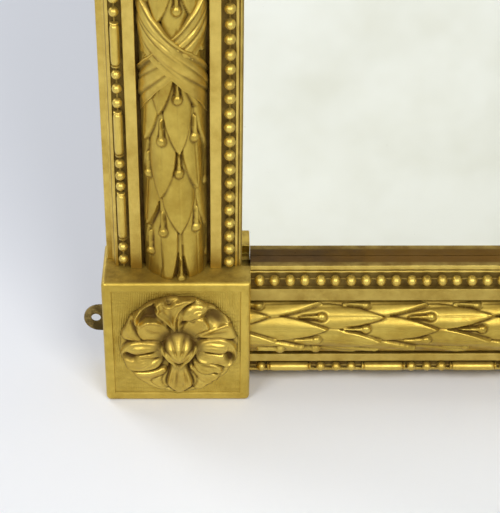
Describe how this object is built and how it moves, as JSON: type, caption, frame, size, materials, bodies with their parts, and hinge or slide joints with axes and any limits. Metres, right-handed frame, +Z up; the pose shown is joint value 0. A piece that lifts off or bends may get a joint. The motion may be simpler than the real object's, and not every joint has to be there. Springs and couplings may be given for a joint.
{
  "type": "trumeau mirror",
  "caption": "Tall giltwood wall mirror with a laurel-and-ribbon moulding, corner rosettes, pearl sight edge and a relief panel above the glass.",
  "frame": {"origin": "under the middle of the frame, halfway through its depth, on the line that its lower corner blocks stand on", "axes": "+Z up, +Y into the wall, +X to the right as the mirror is seen from the front"},
  "size_m": [1.147, 0.078, 1.78],
  "materials": {
    "gilt_moulding": "water gilding over gesso, rubbed and toned",
    "gilt_carving": "gilded carved ornament, darker in its hollows",
    "gilt_panel": "gilded board with a fine hatched ground",
    "mirror_glass": "old silvered plate, faintly clouded",
    "raw_pine": "bare pine, aged",
    "plate_brass": "dull brass",
    "steel": "plain steel screw"
  },
  "bodies": {
    "root": {"stile_left": "gilt_moulding", "stile_right": "gilt_moulding", "bottom_rail": "gilt_moulding", "transom": "gilt_moulding", "top_rail": "gilt_moulding", "corner_block_bottom_left": "gilt_moulding", "rosette_bottom_left": "gilt_carving", "corner_block_bottom_right": "gilt_moulding", "rosette_bottom_right": "gilt_carving", "corner_block_top_left": "gilt_moulding", "rosette_top_left": "gilt_carving", "corner_block_top_right": "gilt_moulding", "rosette_top_right": "gilt_carving", "laurel_roll_left": "gilt_carving", "laurel_roll_right": "gilt_carving", "laurel_roll_bottom": "gilt_carving", "laurel_roll_transom": "gilt_carving", "laurel_roll_top": "gilt_carving", "ribbon_tie_left_1": "gilt_carving", "ribbon_tie_left_2": "gilt_carving", "ribbon_tie_left_3": "gilt_carving", "ribbon_tie_right_1": "gilt_carving", "ribbon_tie_right_2": "gilt_carving", "ribbon_tie_right_3": "gilt_carving", "ribbon_tie_bottom": "gilt_carving", "ribbon_tie_transom": "gilt_carving", "ribbon_tie_top": "gilt_carving", "pearls_left": "gilt_carving", "pearls_right": "gilt_carving", "pearls_bottom": "gilt_carving", "pearls_top": "gilt_carving", "pearls_transom_lower": "gilt_carving", "pearls_transom_upper": "gilt_carving", "bead_and_reel_left": "gilt_carving", "bead_and_reel_right": "gilt_carving", "bead_and_reel_bottom": "gilt_carving", "bead_and_reel_top": "gilt_carving", "mirror_glass": "mirror_glass", "mirror_backboard": "raw_pine", "panel_board": "gilt_panel", "panel_patera": "gilt_carving", "panel_swag_left": "gilt_carving", "panel_swag_right": "gilt_carving", "panel_bow": "gilt_carving", "glazing_block_left_lower": "raw_pine", "glazing_block_left_upper": "raw_pine", "glazing_block_right_lower": "raw_pine", "glazing_block_right_upper": "raw_pine", "wall_plate_bottom_left": "plate_brass", "plate_screw_bottom_left_1": "steel", "plate_screw_bottom_left_2": "steel", "wall_plate_bottom_right": "plate_brass", "plate_screw_bottom_right_1": "steel", "plate_screw_bottom_right_2": "steel", "wall_plate_top_left": "plate_brass", "plate_screw_top_left_1": "steel", "plate_screw_top_left_2": "steel", "wall_plate_top_right": "plate_brass", "plate_screw_top_right_1": "steel", "plate_screw_top_right_2": "steel"}
  },
  "joints": []
}
